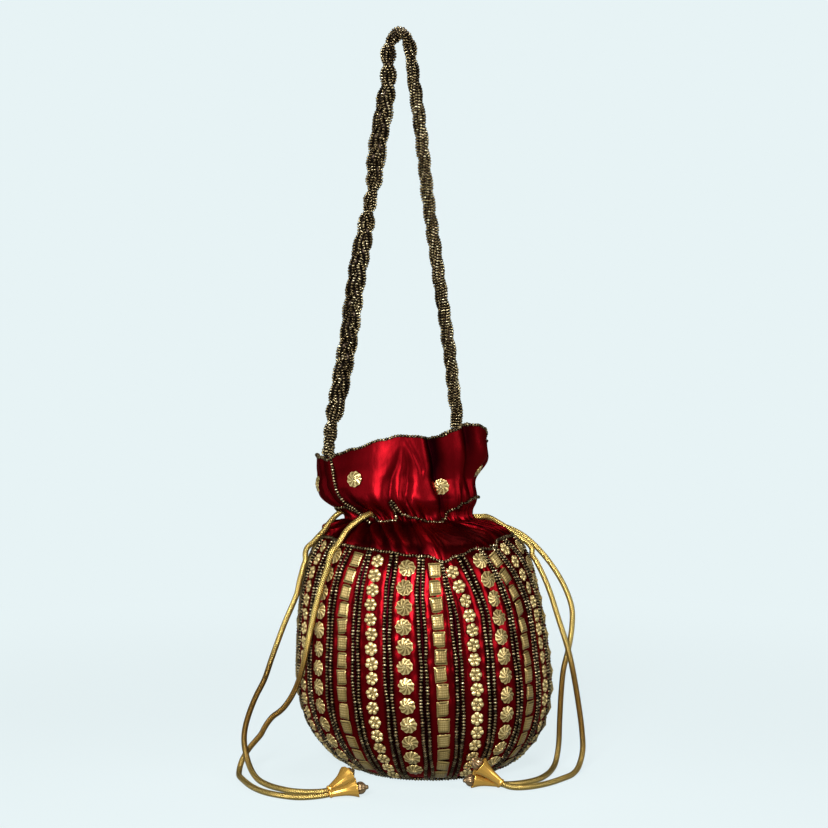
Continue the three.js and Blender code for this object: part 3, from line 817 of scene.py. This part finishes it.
# The string that hangs from the handle's left foot to the casing.
SIDE_DROP = [
    [-64.5, -21.5, 216], [-62.8, -24.5, 208], [-61.5, -26.5, 199], [-59, -28, 191], [-54, -30.5, 184.5],
    [-48, -33, 181], [-42, -35.5, 175.5], [-37, -37, 171.5],
]
sewn_strings("rim_bead_string", "rim_beads", collar_point(edge_turn, np.ones(len(edge_turn))) + [0, 0, 0.6])
casing_path = collar_point(edge_turn, share_at_height(around(CASING_LINE, edge_turn)), 0.9)
sewn_strings("casing_bead_strings", "casing_beads", casing_path, smooth_curve(SIDE_DROP, 60))
sewn_strings("seam_bead_string", "seam_beads", on_bag(edge_turn, seam_r + 1.3, seam_z))
sewn_strings("base_bead_string", "base_beads", on_bag(edge_turn, 50.6, 1.25))

# ---- Studs on the collar ----------------------------------------------------

collar_studs = Heap()
for degrees, share in ((-85, 0.55), (-30, 0.6), (37, 0.43), (82, 0.62), (141, 0.6), (197, 0.6)):
    # The stud's place, and points of the cloth to its left, right, bottom and top.
    turns = degrees + np.array([0, -3.0, 3.0, 0, 0])
    here, left, right, below, above = collar_point(turns, share + np.array([0, 0, 0, -0.04, 0.04]))
    up = above - below
    out = unit(np.cross(right - left, up))
    side = unit(np.cross(up, out))
    axes = np.stack([side, np.cross(out, side), out], -1)
    collar_studs.add(PINWHEEL, (here + 0.6 * out)[None], axes[None])
keep(collar_studs.piece("collar_studs", GOLD), "gold", *nodes_named("collar_stud"))

# ---- Handle -----------------------------------------------------------------

# The handle's middle line, and how far the flat plait is turned away from the front there, in degrees.
HANDLE = np.array([
    [-66, -20, 217, 70], [-64.8, -18.6, 231, 66], [-62.4, -17, 244, 45], [-60, -15, 255, 12],
    [-56.8, -13, 272, 0], [-52, -10, 300, 0], [-48.8, -7.5, 327, 8], [-45.3, -5, 350.7, -6],
    [-41.4, -3.5, 372, 30], [-37.8, -2, 393, 74], [-35.3, -1, 405, 60], [-33.6, 0, 422, 4],
    [-31.6, 0.5, 438, -8], [-29.2, 1, 451, 5], [-26.8, 2, 466, 20], [-25, 2, 480, 50], [-25.2, 2, 495, 58],
    [-24, 2, 504.2, 62], [-20.6, 2, 510.2, 66], [-16.3, 2, 512.4, 70], [-11.9, 2, 509.3, 70],
    [-9.9, 2.3, 500.2, 62], [-8.4, 3, 488, 62], [-6.6, 4, 475, 50], [-5.2, 4, 466, 46], [-1.6, 6, 438, 66],
    [2.9, 10, 396.7, 78], [7.9, 14, 362, 80], [12.9, 18, 326.6, 84], [18.6, 22, 288, 70], [21.2, 25, 263, 58],
    [23.4, 28.4, 247, 62], [23.8, 29.8, 234, 66],
])
# The plait's length of one pattern, and how far its strands swing across and through it.
PLAIT_PERIOD, PLAIT_WIDE, PLAIT_DEEP = 45.0, 2.7, 1.8
# The strings of beads in a strand, its half width and half depth, and the length of one turn of its strings.
STRINGS, STRAND_WIDE, STRAND_DEEP, STRING_TURN = 7, 3.6, 2.1, 260.0
# Points along the plait, every how many of them has a ring of a strand's inner threads, and a ring's sides.
PLAIT_POINTS, RING_EVERY, RING_SIDES = 900, 3, 10


def plait():
    """The handle: three strands, each a bundle of bead strings round their threads."""
    middle = smooth_curve(HANDLE[:, :3], PLAIT_POINTS)
    knots = np.array([np.argmin(np.linalg.norm(middle - p, axis=1)) for p in HANDLE[:, :3]], float)
    turn = np.radians(np.interp(np.arange(PLAIT_POINTS), knots, HANDLE[:, 3]))
    run = np.linspace(0, path_length(middle), PLAIT_POINTS)
    along = unit(np.gradient(middle, axis=0))
    across = unit(np.cross(along, [0, 1, 0]))
    deep = np.cross(across, along)
    wide_way = across * np.cos(turn)[:, None] + deep * np.sin(turn)[:, None]
    deep_way = -across * np.sin(turn)[:, None] + deep * np.cos(turn)[:, None]
    # The plait draws together towards its sewn ends.
    spread = 0.35 + 0.65 * ease(np.clip(np.minimum(run, run[-1] - run) / 30, 0, 1))
    # The right leg is twisted like a rope rather than laid flat.
    rope = ease(np.clip((run / run[-1] - 0.5) / 0.1, 0, 1))
    for strand in range(3):
        phase = 2 * np.pi * (run / PLAIT_PERIOD + strand / 3)
        swing = PLAIT_WIDE * (1 - 0.2 * rope) * np.sin(phase) * spread
        weave = PLAIT_DEEP * ((1 - rope) * np.sin(2 * phase) + 1.25 * rope * np.cos(phase))
        core = middle + wide_way * swing[:, None] + deep_way * weave[:, None]
        heap = Heap()
        size = (0.55 + 0.45 * spread) * (1 - 0.35 * rope)

        def on_strand(turns, share):
            """A line along the strand, at turns round it and at a share of its thickness."""
            wide_part = wide_way * (STRAND_WIDE * size * share * np.cos(turns))[:, None]
            return core + wide_part + deep_way * (STRAND_DEEP * share * np.sin(turns))[:, None]

        for k in range(STRINGS):
            turns = 2 * np.pi * (k / STRINGS + run / STRING_TURN) + 0.2 * np.sin(run / 31 + k)
            # Each string's own painted light, set by where it starts round the strand, stands in for the shade
            # at the strand's edges.
            bright = 0.25 + 0.5 * abs(math.sin(2 * math.pi * (k + 0.4) / STRINGS))
            pitch = 1.95 + 0.05 * (k % 3) + 0.01 * strand
            string_beads(heap, on_strand(turns, 1)[k % 4:], pitch, 0.96, (bright - 0.1, bright + 0.45))
        # The strand's inner threads: a real tube, painted near-black as the shade inside the strand.
        rings = [on_strand(np.full(PLAIT_POINTS, turns), 0.86)[::RING_EVERY] for turns in circle(RING_SIDES)]
        threads = np.stack(rings, 1)
        heap.add_sheet(threads.reshape(-1, 3), grid_faces(len(threads), RING_SIDES, True), -1.0)
        replaced = ["bead_handle"] if strand == 0 else []
        keep(heap.piece(f"handle_strand_{strand + 1}", BEADS), "beads", *replaced)


plait()

# ---- Drawstrings ------------------------------------------------------------

# Height, and how far a drawstring's middle stays off the cloth there.
STAND_OFF = np.array([[0, 4.9], [146, 4.9], [149.5, 7.2], [154, 7.2], [157, 4.6], [162, 3.5], [172, 2.9]])
# Each tail's middle line, from its window in the casing to its end cap.
TAILS = {
    "left_front": [
        [-34.7, -27.9, 177.2], [-39.5, -34, 176.3], [-45.4, -38.5, 172.6], [-51.5, -43, 167.5],
        [-56.5, -47.5, 160], [-61.5, -53, 151], [-65.5, -55, 140], [-69.2, -54.5, 128.5], [-74, -52, 110],
        [-77.5, -50.5, 94], [-81.2, -45.5, 77], [-86.2, -40, 61.5], [-91, -37, 52], [-96.7, -34, 44.4],
        [-103.7, -31, 38.6], [-108.4, -29, 32], [-112, -27, 25.5], [-116.8, -26, 20], [-121.3, -25, 14],
        [-124.8, -27, 7.6], [-125.6, -33.5, 2.7], [-124.3, -44, 2], [-120.3, -56, 2], [-112.5, -74.5, 2],
        [-103.7, -87.6, 2], [-93.5, -96, 2], [-80.5, -101.5, 2], [-69, -99, 2], [-59.1, -95.2, 2.7],
    ],
    "left_back": [
        [-52.5, -7, 177.2], [-57.5, -7.5, 177], [-64, -10.5, 171.6], [-71, -15, 161.5], [-80.5, -22, 143],
        [-88, -21, 120], [-96.5, -17, 100], [-105, -15.5, 77], [-110.2, -17, 61.8], [-115.6, -21, 51],
        [-119.7, -25, 40.4], [-122.3, -29, 29.8], [-122.4, -32, 21.4], [-120.4, -36.5, 13.8],
        [-116.4, -46, 7], [-110.5, -58.5, 3.2], [-102.4, -70, 2], [-93.8, -79.5, 2], [-84, -86.5, 2],
        [-74, -88.5, 2], [-65.2, -86.8, 2], [-60.4, -84.3, 2.4],
    ],
    "right_front": [
        [31, 7.6, 172.6], [38.5, 6.5, 172.6], [45, 12, 172.2], [52, 15.5, 168.5], [60, 17, 163.5],
        [68, 16.5, 157.3], [77.5, 9, 144], [84, 1, 131], [88.5, -4, 119], [93, -8, 104], [97.5, -12, 89.5],
        [100.5, -14, 78.5], [103.6, -14, 63.5], [106.5, -14, 46], [109, -14, 27], [109.3, -17, 13.5],
        [106, -25, 4.8], [100.5, -38, 2], [92.6, -51, 2], [80.1, -66, 2], [69, -74, 2], [59, -77.5, 2.4],
        [53, -77.2, 3.4], [48.4, -76.4, 5.4],
    ],
    "right_back": [
        [16.8, 26.4, 172.6], [17, 33, 172.8], [24, 40, 172], [34, 42.5, 169.6], [46, 40, 167], [58, 33, 164],
        [70.5, 25, 158.5], [82, 17, 148.5], [92.5, 9, 135], [100, 4, 121], [103.8, 1, 108], [103.3, -1, 94],
        [100.8, -2, 80], [97.5, -3, 67], [96, -3, 53], [94.8, -3, 32], [93.8, -5, 14], [91.3, -12, 4.6],
        [87.2, -26, 2], [82.3, -41, 2], [75.5, -54, 2], [67, -62, 2], [57, -67, 2], [47.5, -69.4, 2.6],
    ],
}
# A point that each cap's mouth is turned to.
CAP_MOUTHS = {
    "left_front": [-40.8, -94, 6.9], "left_back": [-49, -70.5, 10], "right_front": [33, -76.5, 18.4],
    "right_back": [30, -71, 7],
}
CORD_R, CORD_SIDES = 1.95, 12
# The gap from a cord's end to its cap, the cap's length, and how much of the bud's thread is inside it.
NECK_GAP, CAP_LENGTH, BUD_INSIDE = 1.5, 17.5, 4.5
TRIM_SIDES = 48
# Distance along the cap and radius, outside from the neck to the mouth and back inside.
CAP = [
    [-1.2, 0], [-1.2, 2.0], [-0.6, 2.5], [0, 2.75], [0.7, 2.6], [1.1, 2.35], [1.6, 2.45], [3.5, 2.65],
    [6, 2.95], [9, 3.4], [11.5, 4.0], [13.5, 4.65], [15.2, 5.35], [16.6, 6.0], [17.3, 6.3], [17.6, 6.3],
    [17.5, 6.0], [16.5, 5.3], [15, 4.6], [13, 3.9], [11, 3.2], [7, 2.4], [7, 0],
]
# The bud on its thread, from the thread's inner end.
BUD = [
    [0, 0], [0, 0.7], [2.3, 0.7], [2.7, 1.4], [3.4, 2.4], [4.4, 3.3], [5.6, 3.75], [6.8, 3.8], [7.9, 3.5],
    [8.9, 2.8], [9.6, 2], [10.1, 1.45], [10.6, 1.2], [11.1, 1.3], [11.5, 0.9], [11.7, 0],
]
# Where each bud points, from the middle of its cap's mouth.
BUD_WAYS = {
    "left_front": [1, 0, 0.12], "left_back": [0.6, 0.75, 0.35], "right_front": [-0.72, 0, 0.6],
    "right_back": [-0.94, -0.28, 0.02],
}


def clear_of_bag(points):
    """Moves the points below the waist that would press into the bag outwards."""
    z = points[:, 2]
    u = (points[:, 0] - lean(z, 1)) / lean(z, 2)
    v = points[:, 1] / lean(z, 3)
    face = np.interp(z, PROFILE[:, 1], PROFILE[:, 0]) + np.interp(z, STAND_OFF[:, 0], STAND_OFF[:, 1])
    push = np.where(z > PROFILE[-1, 1], 1, np.maximum(1, face / np.hypot(u, v)))
    return np.stack([lean(z, 1) + u * push * lean(z, 2), v * push * lean(z, 3), z], 1)


def turned_piece(name, outline, start, way, metal, ribs, rib_depth):
    """A turned trim along a line from a point, with shallow ribs along it."""
    along, radius = np.array(outline).T
    axis = unit(np.array(way))
    side = unit(np.cross(axis, [0, 0, 1]))
    up = np.cross(side, axis)
    angle = circle(TRIM_SIDES)
    r = radius[:, None] * (1 + rib_depth * np.cos(ribs * angle)[None, :])
    ring = r[..., None] * (np.cos(angle)[:, None] * side + np.sin(angle)[:, None] * up)[None]
    points = np.array(start) + along[:, None, None] * axis + ring
    return mesh_piece(name, points.reshape(-1, 3), [grid_faces(len(outline), TRIM_SIDES, True)], metal)


for name, route in TAILS.items():
    middle = smooth_curve(clear_of_bag(smooth_curve(route, 120))[::2], 240)
    cord = tube(f"drawstring_{name}", middle, CORD_R, CORD_SIDES, CORD)
    keep(cord, "cord", f"drawstring_{name}_tail")
    way = unit(np.array(CAP_MOUTHS[name]) - middle[-1])
    neck = middle[-1] + NECK_GAP * way
    cap = turned_piece(f"cap_{name}", CAP, neck, way, BRIGHT_GOLD, 12, 0.02)
    keep(cap, "gold", f"end_cap_{name}")
    root = neck + (CAP_LENGTH - BUD_INSIDE) * way
    bud = turned_piece(f"bud_{name}", BUD, root, BUD_WAYS[name], DULL_BRASS, 8, 0.09)
    keep(bud, "gold", f"cap_bud_{name}")

# ---- The CAD node that shows ------------------------------------------------

base_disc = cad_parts["base_disc"]
base_disc.data.materials.clear()
base_disc.data.materials.append(POUCH_SATIN)

# ---- Floor, backdrop, light and camera --------------------------------------

PALE = (0.800, 0.896, 0.913)
# The floor's own glow at the bag, against the backdrop's 1, and the metres over which it fades into that.
FLOOR_GLOW, FADE_FROM, FADE_TO = 0.88, 0.15, 1.0


def floor_material():
    """Pale paint that takes soft shadows near the bag and fades into the backdrop further out."""
    made, tree, shader = material(
        "floor_paint", (0, 0, 0), 1.0, 0.0, Specular_IOR_Level=0.0, Emission_Color=(*PALE, 1)
    )
    place = add_node(tree, "ShaderNodeTexCoord")
    far = add_node(tree, "ShaderNodeVectorMath", operation="LENGTH")
    tree.links.new(place.outputs["Object"], far.inputs[0])
    fade = tree.nodes.new("ShaderNodeMapRange")
    fade.interpolation_type = "SMOOTHSTEP"
    for key, value in (("From Min", FADE_FROM), ("From Max", FADE_TO), ("To Min", FLOOR_GLOW), ("To Max", 1.0)):
        fade.inputs[key].default_value = value
    tree.links.new(far.outputs["Value"], fade.inputs["Value"])
    tree.links.new(fade.outputs["Result"], shader.inputs["Emission Strength"])
    color_by(tree, shader, far.outputs["Value"], [(FADE_FROM, (0.1, 0.11, 0.112)), (FADE_TO, (0, 0, 0))])
    return made


def stage_plane(name, z, paint):
    """A wide level plane under the bag."""
    mesh = bpy.data.meshes.new(name)
    mesh.from_pydata([(-6, -4, z), (6, -4, z), (6, 6, z), (-6, 6, z)], [], [(0, 1, 2, 3)])
    mesh.materials.append(paint)
    plane = bpy.data.objects.new(name, mesh)
    bpy.context.scene.collection.objects.link(plane)
    plane.visible_diffuse = False
    return plane


floor = stage_plane("floor", 0, floor_material())
floor.visible_glossy = False
# A dim card that only the bag's shiny parts mirror, for the light that a pale table throws up.
card_paint, _, _ = material("card_paint", (0, 0, 0), 1.0, 0.0, Emission_Color=(*PALE, 1), Emission_Strength=0.3)
card = stage_plane("card", -0.002, card_paint)
card.visible_camera = False
card.visible_shadow = False

world = bpy.data.worlds.new("studio")
world.use_nodes = True
backdrop = world.node_tree.nodes["Background"]
backdrop.inputs["Color"].default_value = (*PALE, 1)
backdrop.inputs["Strength"].default_value = 1.0
world.cycles_visibility.diffuse = False
world.cycles_visibility.glossy = False
bpy.context.scene.world = world


def area_light(name, place, target, size, power):
    """A soft square light that faces a target."""
    light = bpy.data.lights.new(name, "AREA")
    light.size = size
    light.energy = power
    lamp = bpy.data.objects.new(name, light)
    lamp.location = place
    lamp.rotation_euler = (Vector(target) - Vector(place)).to_track_quat("-Z", "Y").to_euler()
    bpy.context.scene.collection.objects.link(lamp)


area_light("key", (-0.25, -1.3, 0.6), (0, 0, 0.14), 0.34, 25)
area_light("left", (-1.2, -0.4, 0.5), (0, 0, 0.15), 0.8, 5)
area_light("right", (1.1, -0.7, 0.5), (0, 0, 0.15), 0.6, 8)
area_light("top", (0.1, 0.35, 1.2), (0, 0, 0.2), 0.5, 5)

camera = bpy.data.cameras.new("camera")
camera.lens = 66.4
camera.sensor_width = 36
view = bpy.data.objects.new("camera", camera)
view.location = (-0.007, -1.07, 0.245)
view.rotation_euler = (math.radians(90), 0, 0)
bpy.context.scene.collection.objects.link(view)
bpy.context.scene.camera = view
bpy.context.scene.view_settings.view_transform = "Standard"
